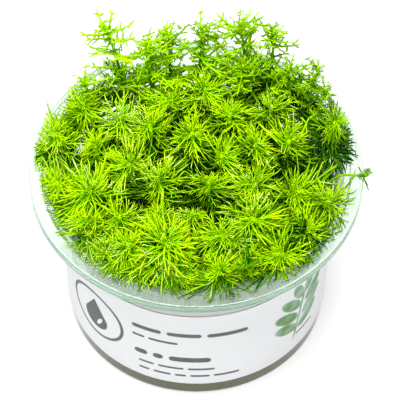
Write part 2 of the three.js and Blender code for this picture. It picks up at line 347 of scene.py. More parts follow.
def leaf_material(name, green, settings, young_share, vigour, wetness):
    """A leaf's material, read from its growth attribute: share along the leaf, age with painted shade, and
    chance.
    """
    material, wires, shader = blank_material(name)
    growth_and_shade = wires.node("ShaderNodeAttribute", attribute_name="growth_and_shade")
    along, age_and_shade, luck = wires.node("ShaderNodeSeparateColor", {"Color": growth_and_shade.outputs["Color"]}).outputs
    young = [a * young_share + b * (1 - young_share) for a, b in zip(settings.young, settings.old)]
    made = place_group(wires, green, Young=rgba(young), Tip=rgba(settings.tip), Old=rgba(settings.old),
                       Age=age_and_shade, Along=along, Chance=luck, Vigour=vigour)
    wires.fill(shader, {"Base Color": made["Color"], "Roughness": made["Roughness"],
                        "Coat Weight": wires.times(made["Wet"], wetness), "Coat Roughness": 0.1,
                        "Coat IOR": 2.0, "Specular IOR Level": 0.03})
    return material


# Cup

def wall_radius(z, cup):
    """Outer radius of the cup's body at a height."""
    return cup.body_base_radius + (cup.body_top_radius - cup.body_base_radius) * z / BODY_TOP


def corner(r, z, size, start, end, steps=5):
    """Rings of a rounded corner about a centre, from one angle to another."""
    angles = [math.radians(start + (end - start) * i / steps) for i in range(steps + 1)]
    return [(r + size * math.cos(a), z + size * math.sin(a)) for a in angles]


def ring_profile(cup):
    """Radius and height of each ring of the cup, from the underside outward, up, over and inside."""
    top, rim, wall, label_top = CUP_HEIGHT, RIM_RADIUS, cup.wall, LABEL_HIGH[2]
    ledge = top - 1.3 * MM
    under_flange = top - 0.9 * MM
    skirt_inside, skirt_low = rim - 0.8 * MM, top - 2.1 * MM
    rounded, inside_rounded, lip, step = 1.4 * MM, 1.0 * MM, 0.45 * MM, 0.6 * MM
    base = wall_radius(rounded, cup)
    return [
        *corner(base - rounded, rounded, rounded, -88, 0),
        (wall_radius(label_top, cup), label_top),
        (wall_radius(label_top + 2 * MM, cup), label_top + 2 * MM),
        (cup.body_top_radius, BODY_TOP),
        (34.0 * MM, BODY_TOP + 0.8 * MM),
        (35.8 * MM, ledge - wall),
        (37.1 * MM, under_flange),
        (skirt_inside, under_flange),
        (skirt_inside, skirt_low),
        (rim, skirt_low),
        *corner(rim - lip, top - lip, lip, 0, 90, 4),
        *corner(36.8 * MM, top - step, step, 90, 135, 3),
        (35.4 * MM, ledge + 0.1 * MM),
        (34.9 * MM, ledge),
        (cup.body_top_radius, ledge - 0.05 * MM),
        (cup.body_top_radius - wall, BODY_TOP),
        (wall_radius(label_top, cup) - wall, label_top),
        *corner(base - wall - inside_rounded, 1.2 * MM + inside_rounded, inside_rounded, 0, -88, 4),
    ]


class MILFOIL_OT_cup(bpy.types.Operator):
    """Build the clear cup by extruding and sizing one ring after another"""
    bl_idname = "milfoil.cup"
    bl_label = "Cup"

    def execute(self, context):
        settings = context.scene.milfoil_cup
        (r, z), *rings = ring_profile(settings)
        deselect()
        bpy.ops.mesh.primitive_circle_add(vertices=144, radius=r, fill_type="NGON", location=(0, 0, z))
        piece = context.object
        edit("EDGE")
        bpy.ops.mesh.flip_normals()
        for next_r, next_z in rings:
            bpy.ops.mesh.extrude_edges_move(TRANSFORM_OT_translate={"value": (0, 0, next_z - z)})
            share = next_r / r
            bpy.ops.transform.resize(value=(share, share, 1), center_override=(0, 0, next_z))
            r, z = next_r, next_z
        bpy.ops.mesh.edge_face_add()
        close_up()
        settle(piece)
        smooth(piece, 35)
        clear = self.plastic("Clear moulded plastic", settings, 1.0)
        dress(piece, "clear_cup", "cup", clear, "clear_plastic")
        piece.data.materials.append(self.plastic("Milky moulded collar", settings, 0.82))
        piece.data.materials.append(self.plastic("Satin band", settings, 0.45))
        for face in piece.data.polygons:
            z = face.center[2]
            in_band = 0 < z - LABEL_HIGH[2] < 1.5 * MM
            face.material_index = 2 if in_band else 1 if z > CUP_HEIGHT - 3.5 * MM else 0
        return {"FINISHED"}

    def plastic(self, name, settings, clearness):
        material, wires, shader = blank_material(name)
        place = wires.place()
        cloud = wires.noise(place, 60.0, 3.0)
        height = wires.node("ShaderNodeSeparateXYZ", {"Vector": place}).outputs[2]
        flat = wires.node("ShaderNodeVectorMath", {0: place, 1: (1, 1, 0)}, operation="MULTIPLY").outputs[0]
        radius = wires.node("ShaderNodeVectorMath", {0: flat}, operation="LENGTH").outputs["Value"]
        lip = wires.span(radius, RIM_RADIUS - 0.4 * MM, RIM_RADIUS - 0.1 * MM)
        collar = wires.span(height, CUP_HEIGHT - 3.0 * MM, CUP_HEIGHT - 2.0 * MM)
        clear = wires.mix(wires.span(cloud, 0.35, 0.7), (0.95, 0.975, 0.96, 1), (0.98, 0.99, 0.985, 1))
        collared = wires.mix(collar, clear, rgba(settings.tint))
        flange = wires.span(height, CUP_HEIGHT - 3.5 * MM, CUP_HEIGHT - 1.5 * MM, 0.0, 0.08)
        wires.fill(shader, {"Base Color": wires.mix(lip, collared, rgba(settings.edge)),
                            "Roughness": wires.plus(flange, wires.span(cloud, 0.3, 0.7, 0.015, 0.05)),
                            "Transmission Weight": clearness, "IOR": 1.46})
        return material


# Label

class MILFOIL_OT_label(bpy.types.Operator):
    """Build the paper band, with its plain printed marks"""
    bl_idname = "milfoil.label"
    bl_label = "Label"

    def execute(self, context):
        settings = context.scene.milfoil_label
        cup = context.scene.milfoil_cup
        low, high = LABEL_LOW[2], LABEL_HIGH[2]
        gap = 0.05 * MM
        base_r, top_r = wall_radius(low, cup) + gap, wall_radius(high, cup) + gap
        deselect()
        bpy.ops.mesh.primitive_cylinder_add(vertices=192, radius=base_r, depth=high - low,
                                            end_fill_type="NOTHING", location=(0, 0, (low + high) / 2))
        piece = context.object
        settle(piece)
        select_top(piece, "VERT", lambda vertex: vertex.co.z > (low + high) / 2)
        share = top_r / base_r
        bpy.ops.transform.resize(value=(share, share, 1), center_override=(0, 0, high))
        bpy.ops.object.mode_set(mode="OBJECT")
        modify(piece, "SOLIDIFY", thickness=settings.thickness, offset=1)
        smooth(piece, 40)
        dress(piece, "paper_label", "label", self.paper(settings), "label_paper")
        return {"FINISHED"}

    def paper(self, settings):
        material, wires, shader = blank_material("Printed paper")
        oval = oval_mark_group()
        bar = bar_mark_group()
        place = wires.place()
        x, y, z = wires.node("ShaderNodeSeparateXYZ", {"Vector": place}).outputs
        turn = wires.maths("ARCTAN2", x, wires.times(y, -1.0))
        # Places on the label are in millimetres, round the band from its middle and up from the underside
        middle_radius = 32.5
        across = wires.times(turn, middle_radius)
        up = wires.times(z, 1000.0)

        def largest(masks):
            total = masks[0]
            for mask in masks[1:]:
                total = wires.maths("MAXIMUM", total, mask)
            return total

        def ovals(rows):
            return [place_group(wires, oval, Across=across, Up=up, Centre_across=u, Centre_up=v,
                                Half_length=a, Half_width=b, Turn=math.radians(t), Soft=soft)["Mask"]
                    for u, v, a, b, t, soft in rows]

        def bars(rows):
            return [place_group(wires, bar, Across=across, Up=up, Centre_across=(start + end) / 2,
                                Centre_up=v, Half_length=(end - start) / 2, Half_width=h)["Mask"]
                    for start, end, v, h in rows]

        badge_u, badge_v = -27.5, 20.5
        drop_v, drop_r = badge_v - 2.0, 3.9
        outer, inner, drop_round, glint = ovals([
            (badge_u, badge_v, 9.0, 9.0, 0, 0.02), (badge_u, badge_v, 8.1, 8.1, 0, 0.02),
            (badge_u, drop_v, drop_r, drop_r, 0, 0.04), (badge_u + 1.3, drop_v - 0.6, 1.9, 0.55, 62, 0.12)])
        ring = wires.minus(outer, inner, clamp=True)
        rise = wires.minus(up, drop_v + 1.9)
        side = wires.maths("ABSOLUTE", wires.minus(across, badge_u))
        peak = wires.times(wires.maths("GREATER_THAN", rise, 0.0),
                           wires.maths("LESS_THAN", side, wires.span(rise, 0.0, 6.0, 3.4, 0.0)))
        drop = wires.minus(wires.maths("MAXIMUM", drop_round, peak), glint, clamp=True)
        dashes = bars([
            (-16, -8.5, 26.3, 0.75), (-7.2, 1.2, 26.3, 0.75), (2.5, 12.5, 26.3, 0.75),
            (-16, -12.8, 22.4, 0.45), (-11.8, -4.5, 22.4, 0.45),
            (-15.6, -12.2, 15.6, 1.0), (-10.8, -8.2, 15.6, 1.0), (-6.8, 3.5, 15.6, 1.0),
            (-14.6, -10.6, 11.5, 0.4), (-9.6, -3.2, 11.5, 0.4), (-2.2, 4.4, 11.5, 0.4),
            (-14.6, -11.8, 8.5, 0.4), (-10.8, -6.4, 8.5, 0.4), (-5.4, -2.6, 8.5, 0.4),
            (-1.6, 3.2, 8.5, 0.4), (4.2, 10.6, 8.5, 0.4), (27.5, 34.0, 11.0, 0.35)])
        ink = largest([ring, drop, *dashes])
        sprig = largest(ovals([
            (27.6, 15.5, 6.4, 0.45, 80, 0.2), (29.2, 24.5, 5.6, 0.4, 78, 0.2),
            (24.0, 16.2, 4.2, 1.9, 150, 0.1), (31.6, 15.8, 4.2, 1.9, 32, 0.1),
            (23.9, 20.8, 4.4, 2.0, 146, 0.1), (33.0, 20.6, 4.4, 2.0, 36, 0.1),
            (25.2, 25.4, 4.2, 1.9, 136, 0.1), (33.6, 25.4, 4.2, 1.9, 42, 0.1),
            (27.5, 29.0, 3.4, 1.6, 112, 0.1), (31.5, 29.6, 3.4, 1.6, 68, 0.1)]))
        fibre = wires.noise(place, 2600.0, 4.0, 0.6)
        blotch = wires.noise(place, 170.0, 3.0)
        sheet = wires.mix(wires.span(fibre, 0.3, 0.7, 0.0, 0.05), rgba(settings.paper), (0.7, 0.71, 0.7, 1))
        uneven = wires.span(blotch, 0.35, 0.6, 0.6, 1.0)
        washed = wires.mix(wires.times(sprig, uneven), sheet, rgba(settings.wash))
        shaded = wires.mix(wires.times(sprig, wires.span(blotch, 0.48, 0.66, 0.0, 0.7)),
                           washed, (0.20, 0.30, 0.09, 1))
        speckled = wires.span(fibre, 0.35, 0.6, 0.86, 0.97)
        inked = wires.mix(wires.times(ink, speckled), shaded, rgba(settings.ink))
        seam = wires.span(wires.maths("ABSOLUTE", turn), math.pi - 0.0075, math.pi - 0.004, 0.0, 0.35)
        bump = wires.node("ShaderNodeBump", {"Strength": 0.12, "Distance": 0.0001, "Height": fibre})
        wires.fill(shader, {"Base Color": wires.mix(seam, inked, (0.45, 0.45, 0.44, 1)),
                            "Roughness": wires.span(fibre, 0.3, 0.7, 0.48, 0.62),
                            "Normal": bump.outputs[0], "Specular IOR Level": 0.3})
        return material


def from_centre(wires, given):
    """How far across and up a place is from the centre of a mark."""
    across = wires.minus(given["Across"], given["Centre across"])
    return across, wires.minus(given["Up"], given["Centre up"])


def away(wires, x, y):
    """Length of the arrow from nought to a place."""
    return wires.maths("SQRT", wires.plus(wires.times(x, x), wires.times(y, y)))


def mark_group(name, *more):
    """A new group for a printed mark, with the sockets that place it."""
    number = "NodeSocketFloat"
    labels = ("Across", "Up", "Centre across", "Centre up", "Half length", "Half width", *more)
    return group(name, [(label, number, 1.0) for label in labels], [("Mask", number)])


def oval_mark_group():
    """Mask of a flat oval, with a soft edge."""
    tree, wires, given, out = mark_group("Oval mark", "Turn", "Soft")
    du, dv = from_centre(wires, given)
    cosine = wires.maths("COSINE", given["Turn"])
    sine = wires.maths("SINE", given["Turn"])
    x = wires.plus(wires.times(du, cosine), wires.times(dv, sine))
    y = wires.minus(wires.times(dv, cosine), wires.times(du, sine))
    reach = away(wires, wires.maths("DIVIDE", x, given["Half length"]),
                 wires.maths("DIVIDE", y, given["Half width"]))
    soft = given["Soft"]
    wires.feed(out["Mask"], wires.span(reach, wires.plus(1.0, soft), wires.minus(1.0, soft)))
    return tree


def bar_mark_group():
    """Mask of a plain bar with round ends."""
    tree, wires, given, out = mark_group("Bar mark")
    du, dv = from_centre(wires, given)
    half_width = given["Half width"]
    straight = wires.minus(given["Half length"], half_width)
    past = wires.maths("MAXIMUM", wires.minus(wires.maths("ABSOLUTE", du), straight), 0.0)
    edge = 0.07
    wires.feed(out["Mask"], wires.span(
        away(wires, past, dv), wires.plus(half_width, edge), wires.minus(half_width, edge)))
    return tree


# Gel

class MILFOIL_OT_gel(bpy.types.Operator):
    """Build the nutrient gel, with its hollowed top"""
    bl_idname = "milfoil.gel"
    bl_label = "Gel"

    def execute(self, context):
        cup = context.scene.milfoil_cup
        low, high, gap = 0.5 * MM, GEL_TOP, 0.45 * MM
        deselect()
        bpy.ops.mesh.primitive_cylinder_add(vertices=128, radius=cup.body_base_radius - gap,
                                            depth=high - low, location=(0, 0, (low + high) / 2))
        piece = context.object
        settle(piece)
        select_top(piece, "FACE", lambda face: face.normal.z > 0.9)
        for inset, drop in ((0.5 * MM, 0.35 * MM), (0.9 * MM, 0.3 * MM), (1.6 * MM, 0.15 * MM)):
            bpy.ops.mesh.inset(thickness=inset)
            bpy.ops.transform.translate(value=(0, 0, -drop))
        bpy.ops.object.mode_set(mode="OBJECT")
        modify(piece, "BEVEL", width=0.9 * MM, segments=4, limit_method="ANGLE",
               angle_limit=math.radians(60))
        smooth(piece, 40)
        dress(piece, "nutrient_gel", "gel", self.jelly(context.scene.milfoil_gel), "nutrient_gel")
        return {"FINISHED"}

    def jelly(self, settings):
        material, wires, shader = blank_material("Nutrient gel")
        place = wires.place()
        cloud = wires.noise(place, 130.0, 4.0)
        grains = wires.noise(place, 1500.0)
        clouded = wires.mix(wires.span(cloud, 0.3, 0.7), rgba(settings.colour), (0.125, 0.138, 0.008, 1))
        speckled = wires.mix(wires.span(grains, 0.62, 0.72, 0.0, 0.5), clouded, (0.10, 0.12, 0.05, 1))
        wires.fill(shader, {"Base Color": speckled, "Roughness": wires.span(cloud, 0.3, 0.7, 0.12, 0.3),
                            "Subsurface Weight": 0.3, "Subsurface Radius": (1.0, 1.0, 0.6),
                            "Subsurface Scale": 0.0015})
        return material


# Shoots

# The points, triangles and each point's share along the leaf, of a small shape
Pattern = namedtuple("Pattern", "points triangles along")


def joined(patterns):
    """Several patterns as one."""
    points, triangles, along = zip(*patterns)
    counts = np.cumsum([0] + [len(p) for p in points[:-1]])
    return Pattern(np.concatenate(points), np.concatenate([t + c for t, c in zip(triangles, counts)]),
                   np.concatenate(along))


def model_needle(steps):
    """A three-sided needle of unit length along X, with a ring at each step and a pointed end."""
    deselect()
    bpy.ops.mesh.primitive_circle_add(vertices=3, radius=1.0, fill_type="NGON")
    piece = bpy.context.object
    edit("VERT")
    reached, width = 0.0, 1.0
    for height, next_width in (*steps, (1.0, 0.1)):
        bpy.ops.mesh.extrude_region_move(TRANSFORM_OT_translate={"value": (0, 0, height - reached)})
        share = next_width / width
        bpy.ops.transform.resize(value=(share, share, 1), center_override=(0, 0, height))
        reached, width = height, next_width
    bpy.ops.mesh.merge(type="CENTER")
    bpy.ops.mesh.select_all(action="SELECT")
    bpy.ops.mesh.quads_convert_to_tris()
    close_up()
    mesh = piece.data
    points = np.array([v.co[:] for v in mesh.vertices])
    triangles = np.array([p.vertices[:] for p in mesh.polygons])
    bpy.data.objects.remove(piece, do_unlink=True)
    turned = np.stack([points[:, 2], points[:, 0], points[:, 1]], axis=1)
    return Pattern(turned, triangles, points[:, 2].copy())


def laid_needle(needle, start, angle, length, width, lift, bow, along_from, along_to):
    """The needle laid from a start point at an angle in the leaf's plane, and bowed to one side."""
    forward = np.array([math.cos(angle), math.sin(angle), lift])
    side = np.array([-math.sin(angle), math.cos(angle), 0.0])
    upward = np.array([0.0, 0.0, 1.0])
    t = needle.points[:, 0]
    spine = start + np.outer(t * length, forward) + np.outer(bow * length * 4 * t * (1 - t), side)
    body = (np.outer(needle.points[:, 1] * width / 2, side)
            + np.outer(needle.points[:, 2] * width * NEEDLE_HEIGHT / 2, upward))
    return Pattern(spine + body, needle.triangles, along_from + (along_to - along_from) * needle.along)


def leaf_pattern(needles, chance, width, roots, spread_angle, needle_length, bow, taper=1.0):
    """A feathery leaf of unit length along X: a midrib with pairs of needles, the first pair the longest."""
    midrib, side_needle = needles
    parts = [laid_needle(midrib, np.zeros(3), 0.0, 1.0, width * 1.4, 0.0,
                         chance.uniform(-0.12, 0.12), 0.0, 1.0)]
    for root in roots:
        length = needle_length * (1.0 - taper * (root - roots[0]) / (1.0 - roots[0]))
        for hand in (-1, 1):
            angle = hand * math.radians(spread_angle * chance.uniform(0.55, 1.3))
            start = np.array([root + chance.uniform(-0.06, 0.06), 0.0, 0.0])
            parts.append(laid_needle(side_needle, start, angle, length * chance.uniform(0.7, 1.15),
                                     width, chance.uniform(-0.2, 0.26),
                                     hand * bow * chance.uniform(-0.5, 1.5), root, 1.0))
    return joined(parts)


def tube(path, radii, sides=7):
    """A closed tube along a path, as points and triangles."""
    count = len(path)
    tangent = np.gradient(path, axis=0)
    tangent /= np.linalg.norm(tangent, axis=1)[:, None]
    first = np.cross(tangent, [1.0, 0.31, 0.0])
    first /= np.linalg.norm(first, axis=1)[:, None]
    second = np.cross(tangent, first)
    angles = np.arange(sides) * 2 * math.pi / sides
    outward = (np.cos(angles)[None, :, None] * first[:, None, :]
               + np.sin(angles)[None, :, None] * second[:, None, :])
    rings = path[:, None, :] + radii[:, None, None] * outward
    points = np.concatenate([rings.reshape(-1, 3), path[:1], path[-1:]])
    triangles = []
    for k in range(count - 1):
        for i in range(sides):
            a, b = k * sides + i, k * sides + (i + 1) % sides
            c, d = a + sides, b + sides
            triangles += [(a, b, d), (a, d, c)]
    bottom, top = count * sides, count * sides + 1
    for i in range(sides):
        triangles.append((bottom, (i + 1) % sides, i))
        triangles.append((top, (count - 1) * sides + i, (count - 1) * sides + (i + 1) % sides))
    return Pattern(points, np.array(triangles), np.zeros(len(points)))


def ring_centres(points):
    """Centres of a solid's stem rings: where at least five of its corners stand close together."""
    used = np.zeros(len(points), dtype=bool)
    centres = []
    for i in np.argsort(points[:, 2]):
        if used[i]:
            continue
        near = (np.linalg.norm(points - points[i], axis=1) < 1.7 * MM) & ~used
        if near.sum() >= LEAVES_PER_WHORL:
            centres.append(points[near].mean(axis=0))
            used |= near
    return sorted(centres, key=lambda c: c[2] + math.hypot(c[0], c[1]))


def smooth_path(knots, count):
    """Points along a smooth curve through the knots."""
    knots = np.array(knots)
    ends = np.concatenate([[2 * knots[0] - knots[1]], knots, [2 * knots[-1] - knots[-2]]])
    path = []
    for a, b, c, d in zip(ends, ends[1:], ends[2:], ends[3:]):
        for t in np.linspace(0, 1, count, endpoint=False):
            path.append(0.5 * (2 * b + (c - a) * t + (2 * a - 5 * b + 4 * c - d) * t ** 2
                               + (3 * b - a - 3 * c + d) * t ** 3))
    path.append(knots[-1])
    return np.array(path)


class Stem:
    """A shoot's centre line, top and leaf length, read from its solid in the frame."""

    def __init__(self, node, bud_length):
        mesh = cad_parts[node].data
        points = np.unique(np.round([v.co[:] for v in mesh.vertices], 6), axis=0)
        centres = ring_centres(points)
        near_top = points[np.hypot(*(points - centres[-1])[:, :2].T) < 1.5 * MM]
        self.tip = near_top[np.argmax(near_top[:, 2])]
        self.end = self.tip - [0, 0, bud_length]
        self.tall = node.startswith("tall")
        self.hangs = node.startswith("overhanging")
        self.old = self.tall or self.hangs
        self.path = smooth_path([*centres, self.end], 10)
        steps = np.linalg.norm(np.diff(self.path, axis=0), axis=1)
        self.lengths = np.concatenate([[0], np.cumsum(steps)])
        self.length = self.lengths[-1]
        above = points[points[:, 2] > centres[-1][2] - 0.5 * MM]
        self.leaf_length = np.linalg.norm(above - centres[-1], axis=1).max()
        self.large = self.leaf_length > LARGE_LEAF

    def at(self, drop):
        """Centre and direction at a distance down from the top; above it, straight up the bud."""
        if drop < 0:
            return self.end + np.array([0, 0, -drop]), np.array([0, 0, 1.0])

        def along(s):
            return np.array([np.interp(s, self.lengths, self.path[:, k]) for k in range(3)])

        s = max(self.length - drop, 0.0)
        direction = along(min(s + MM, self.length)) - along(max(s - MM, 0))
        return along(s), direction / np.linalg.norm(direction)


def from_axis(points):
    return np.hypot(points[:, 0], points[:, 1])


def pressed_in(points, limit):
    """Press most of what is past the limit from the axis back in, and a little up, as a wall would."""
    back, up = 0.88, 0.1
    r = from_axis(points)
    past = np.maximum(r - limit, 0.0)
    share = (r - back * past) / np.maximum(r, 1e-6)
    return points * np.stack([share, share, np.ones(len(r))], axis=1) + np.outer(past, [0.0, 0.0, up])


def laid_on_rim(points):
    """Raise a leaf along its length until it clears the rim, and flatten what then stands up from it."""
    r, z = from_axis(points), points[:, 2]
    wall = RIM_RADII[0]
    rim = np.interp(r, RIM_RADII, RIM_HEIGHTS)
    sunk = np.where(r > wall, rim - z, 0.0)
    # The most that any point within a millimetre is sunk, at each millimetre from the axis
    places = np.arange(0.0, RIM_RADIUS + 4 * MM, MM)
    raised = np.zeros(len(places))
    nearest = np.clip(np.round(r / MM).astype(int), 0, len(places) - 1)
    for beside in (-1, 0, 1):
        np.maximum.at(raised, np.clip(nearest + beside, 0, len(places) - 1), sunk)
    start = min(r.min(), wall - MM)
    at_rim = np.interp(wall + MM, places, raised)
    ramp = np.clip((places - start) / (wall - start), 0.0, 1.0)
    lifted = z + np.interp(r, places, np.maximum(raised, at_rim * ramp))
    out = np.clip((r - start) / (wall - start), 0.0, 1.0)
    deep, flattest = 4 * MM, 0.7
    flatter = flattest * min(max(sunk.max(), 0.0) / deep, 1.0)
    points[:, 2] = lifted - flatter * out * np.maximum(lifted - rim, 0.0)
    return points


def kept_in_wall(points, cup):
    """Press a leaf in by the cup's wall, and keep it from sinking into the gel."""
    gap, sink = 0.15 * MM, 0.2 * MM
    r, z = from_axis(points), points[:, 2]
    inside = np.minimum(wall_radius(z, cup), cup.body_top_radius) - cup.wall - gap
    share = np.where((z < RIM_HEIGHTS[0]) & (r > inside), inside / np.maximum(r, 1e-6), 1.0)
    points[:, 0] *= share
    points[:, 1] *= share
    points[:, 2] = np.maximum(z, GEL_TOP - sink)
    return points


def mesh_object(name, points, triangles, growth_and_shade):
    """An object from arrays, with its growth attribute, which also carries painted shade."""
    count = len(triangles)
    mesh = bpy.data.meshes.new(name)
    mesh.vertices.add(len(points))
    mesh.vertices.foreach_set("co", points.astype(np.float32).ravel())
    mesh.loops.add(count * 3)
    mesh.loops.foreach_set("vertex_index", triangles.astype(np.int32).ravel())
    mesh.polygons.add(count)
    mesh.polygons.foreach_set("loop_start", np.arange(0, count * 3, 3, dtype=np.int32))
    mesh.update(calc_edges=True)
    mesh.validate()
    shade = mesh.attributes.new("growth_and_shade", "FLOAT_COLOR", "POINT")
    shade.data.foreach_set("color", growth_and_shade.astype(np.float32).ravel())
    mesh.polygons.foreach_set("use_smooth", np.ones(count, dtype=bool))
    piece = bpy.data.objects.new(name, mesh)
    bpy.context.scene.collection.objects.link(piece)
    return piece


class MILFOIL_OT_shoots(bpy.types.Operator):
    """Grow every shoot: a stem with whorls of feathery leaves and a closed tip"""
    bl_idname = "milfoil.shoots"
    bl_label = "Shoots"

    # Drop below the top in mm, share of the full leaf length, lift in radians and age with painted shade of
    # each whorl
    TIP_WHORLS = ((-1.3, 0.36, 1.05, 0.0), (-0.8, 0.7, 0.74, 0.0), (-0.1, 0.92, 0.5, 0.02),
                  (0.8, 1.02, 0.32, 0.1), (1.8, 1.08, 0.22, 0.22))
    OPEN_TIP_WHORLS = ((-1.3, 0.45, 0.6, 0.1), (-0.7, 0.7, 0.3, 0.14), (0.6, 1.0, 0.15, 0.2),
                       (3.0, 1.1, 0.15, 0.26))
    LOWER_WHORLS = ((3.0, 1.15, 0.3, 0.42), (5.0, 1.25, 0.4, 0.62), (7.4, 1.3, 0.4, 0.82),
                    (10.2, 1.2, 0.2, 1.0), (13.4, 1.1, -0.08, 0.9), (17.0, 1.2, 0.1, 0.7),
                    (21.0, 1.2, 0.1, 0.65), (25.4, 1.2, 0.0, 0.65))
    # Where along the leaf the needle pairs root, and how long the first pair is
    FULL_LEAVES = (((0.14, 0.42), 0.78), ((0.24, 0.52), 0.66), ((0.12, 0.32, 0.56), 0.74))
    # Leaves shorter than this share belong to a closed bud
    BUD_SHARE = 0.7
    # How far down a shoot, in mm, its lean fades out
    LEAN_DEPTH = 12
    # How far leaves stay inside the box of the solids
    BOX_GAP = 0.02 * MM

    def execute(self, context):
        settings = context.scene.milfoil_shoots
        chance = random.Random(settings.seed)
        needles = (model_needle(((0.35, 0.85), (0.85, 0.7))), model_needle(((0.75, 0.85),)))
        width = settings.needle_width / PATTERN_LENGTH

        def several(count, *shape):
            return [leaf_pattern(needles, chance, *shape) for _ in range(count)]

        full = [leaf_pattern(needles, chance, width * chance.uniform(0.9, 1.1), roots,
                             chance.uniform(22, 38), length, 0.2)
                for roots, length in self.FULL_LEAVES for _ in range(6)]
        small = several(4, width * 1.8, (0.3, 0.55), 24, 0.6, 0.05)
        slender = several(8, width * 0.85, (0.2, 0.48), 26, 0.7, 0.2)
        netted = several(8, width * 1.8, (0.18, 0.46, 0.74), 70, 0.36, 0.45, 0.4)
        green = leaf_green_group()
        young = (leaf_material("Young milfoil leaf", green, settings, 1.0, 1.0, 0.9), "young_leaf")
        older = (leaf_material("Older milfoil leaf", green, settings, 0.85, 0.7, 0.0), "old_leaf")
        for node in SHOOT_NODES:
            stem = Stem(node, settings.bud_length)
            kinds = (netted if stem.tall else small if stem.hangs else full, small, slender)
            piece = self.grow(node, stem, kinds, chance, context.scene.milfoil_cup)
            dress(piece, f"milfoil_{node}", node, *(older if stem.old else young))
        return {"FINISHED"}

    def whorls(self, stem, chance):
        """The whorls of one shoot, from its tip down; a tall one's are uneven, and its lower ones wider."""
        if stem.hangs:
            return tuple((drop, share * 0.6, lift, age_and_shade + 0.35) for drop, share, lift, age_and_shade in self.TIP_WHORLS)
        if not stem.tall:
            return self.TIP_WHORLS + self.LOWER_WHORLS
        at_the_side = abs(stem.tip[0]) > 18 * MM
        widest, lowest = 1.2 if at_the_side else 1.7, 34 * MM
        spaced = []
        drop = chance.uniform(6.0, 8.0)
        while stem.at(drop * MM)[0][2] > lowest:
            share = min(1.0 + 0.035 * drop, widest)
            # Lower whorls of a tall shoot are darker, with age and painted shade
            spaced.append((drop, share, chance.uniform(-0.15, 0.5), min(0.012 * drop, 0.5)))
            drop += chance.uniform(4.4, 7.2)
        return self.OPEN_TIP_WHORLS + tuple(spaced)

    def freshness_and_light(self, stem):
        """How light a shoot's leaves are painted: lightest at the front left, darkest at the back right, as
        the light falls.
        """
        x, y = stem.tip[0] / MM, stem.tip[1] / MM
        return 0.7 - 0.016 * x - 0.01 * max(y, -8.0)

    def leaves(self, stem, chance):
        """Each leaf's drop, share of full length, lift, age with painted shade, and turn; by the wall, long
        ones face out.
        """
        listed = []
        turn = chance.uniform(0, 2 * math.pi)
        for drop, share, lift, age_and_shade in self.whorls(stem, chance):
            turn += math.pi / LEAVES_PER_WHORL + chance.uniform(-0.3, 0.3)
            for place in range(LEAVES_PER_WHORL):
                azimuth = turn + place * 2 * math.pi / LEAVES_PER_WHORL + chance.uniform(-0.45, 0.45)
                swing = 0.28 if drop < 2 else 0.45
                listed.append((drop, share, lift + chance.uniform(-swing, swing), age_and_shade, azimuth))
        x, y = stem.tip[0] / MM, stem.tip[1] / MM
        by_the_wall = math.hypot(x, y) > (22 if y < -12 else 25)
        if by_the_wall and not stem.hangs:
            drop = max(stem.end[2] / MM - RIM_LEAVES_BELOW, 0.0)
            for _ in range(RIM_LEAVES):
                # Painted shade: the long leaves by the wall mostly take dark, old colours
                listed.append((drop + chance.uniform(1.0, 5.2), RIM_SHARE, chance.uniform(-0.4, 0.05),
                               chance.uniform(0.35, 1.0), math.atan2(y, x) + chance.uniform(-1.45, 1.45)))
        return listed

    def stalk(self, stem):
        """A shoot's stem with its bud, and the growth of each point; the stem darkens lower down, with age
        and painted shade.
        """
        thick, thin = (0.42, 0.28) if stem.old else (0.55, 0.42)
        bud_radii = (0.42, 0.38, 0.2) if stem.tall else (0.6, 0.55, 0.2)
        radii = np.concatenate([np.linspace(thick, thin, len(stem.path)), bud_radii]) * MM
        bud = stem.end + np.outer([0.5, 1.0, 1.6], [0.0, 0.0, MM])
        shape = tube(np.concatenate([stem.path, bud]), radii)
        below = np.clip((stem.end[2] - shape.points[:, 2]) / (12 * MM), 0.0, 0.7)
        age_and_shade = np.maximum(below, 0.55) if stem.hangs else below
        return shape, np.stack([0.9 - below, age_and_shade, 0 * below + 0.5, 0 * below + 1.0], axis=1)

    def habit(self, stem, chance):
        """Which way and how far the top of a shoot leans, and the full length of its leaves."""
        outward = math.atan2(stem.tip[1], stem.tip[0])
        way = chance.choice((outward, FRONT)) + chance.uniform(-1.2, 1.2)
        lean = 0.05 if stem.tall else chance.choice((0.1, 0.35, 0.7, 1.0))
        if stem.large:
            way, lean = FRONT, 0.55
        return way, lean, stem.leaf_length * (
            1.0 if stem.tall else 1.15 if stem.large else chance.uniform(0.75, 1.1))

